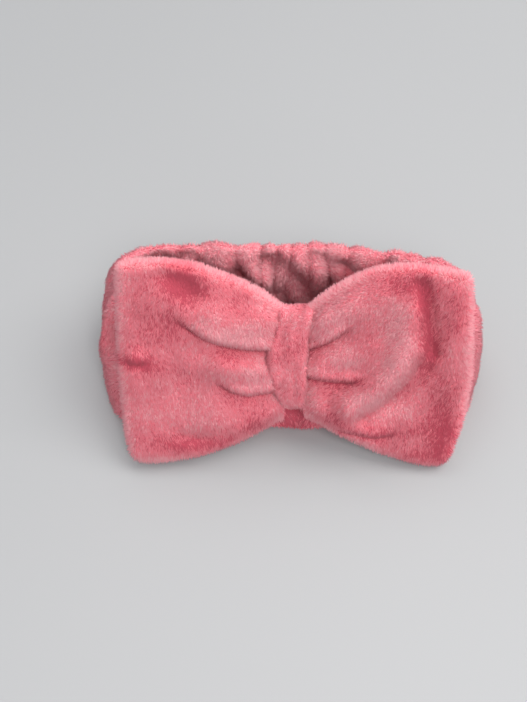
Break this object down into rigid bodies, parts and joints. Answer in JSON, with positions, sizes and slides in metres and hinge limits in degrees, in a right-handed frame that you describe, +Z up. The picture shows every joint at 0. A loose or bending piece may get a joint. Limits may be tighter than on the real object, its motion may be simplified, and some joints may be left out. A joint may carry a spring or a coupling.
{
  "type": "spa headband",
  "caption": "Stretchy plush spa headband with a wide, flat two-wing bow held by a wrapped knot, an open loop for the head and a gathered elastic back.",
  "frame": {"origin": "middle of the head opening, level with the lower edges that the band stands on", "axes": "+Z up through the head opening, +X to the right as seen from the front, -Y the side that the bow faces"},
  "size_m": [0.2064, 0.1119, 0.0912],
  "materials": {
    "coral_plush": "brushed long-pile coral fleece, warm pink, lighter at the tips",
    "lining_plush": "the same fleece seen in shade, curlier and less brushed",
    "seam_thread": "twisted polyester sewing thread",
    "knit_elastic": "ribbed knit elastic"
  },
  "bodies": {
    "front_band": {"front_outer_panel": "coral_plush", "front_lining_panel": "lining_plush", "left_side_outer_panel": "coral_plush", "left_side_lining_panel": "lining_plush", "right_side_outer_panel": "coral_plush", "right_side_lining_panel": "lining_plush", "band_top_seam_stitches": "seam_thread", "band_bottom_seam_stitches": "seam_thread", "bow_waist": "coral_plush", "gather_thread": "seam_thread", "knot_wrap": "coral_plush", "knot_closing_stitches": "seam_thread", "knot_tack_stitches": "seam_thread"},
    "back_band": {"back_outer_panel": "coral_plush", "back_lining_panel": "lining_plush", "elastic_strip": "knit_elastic", "casing_seam_stitches": "seam_thread", "left_join_seam_stitches": "seam_thread", "right_join_seam_stitches": "seam_thread", "left_elastic_anchor_stitches": "seam_thread", "right_elastic_anchor_stitches": "seam_thread"},
    "left_wing": {"left_wing_front_panel": "coral_plush", "left_wing_back_panel": "coral_plush", "left_wing_seam_stitches": "seam_thread"},
    "right_wing": {"right_wing_front_panel": "coral_plush", "right_wing_back_panel": "coral_plush", "right_wing_seam_stitches": "seam_thread"}
  },
  "joints": [
    {"name": "band_stretch", "type": "slide", "parent": "front_band", "child": "back_band", "axis": [0, 1, 0], "range_m": [-0.008, 0.06], "stiffness_N_per_m": 60, "deforming": ["left_side_outer_panel", "left_side_lining_panel", "right_side_outer_panel", "right_side_lining_panel"]},
    {"name": "left_wing_fold", "type": "hinge", "parent": "front_band", "child": "left_wing", "pos_m": [-0.0109, -0.0303, 0.0491], "axis": [0, 0.6428, 0.766], "range_deg": [0, 60], "stiffness_Nm_per_rad": 0.02},
    {"name": "right_wing_fold", "type": "hinge", "parent": "front_band", "child": "right_wing", "pos_m": [0.0109, -0.0303, 0.0491], "axis": [0, -0.6428, -0.766], "range_deg": [0, 60], "stiffness_Nm_per_rad": 0.02}
  ]
}
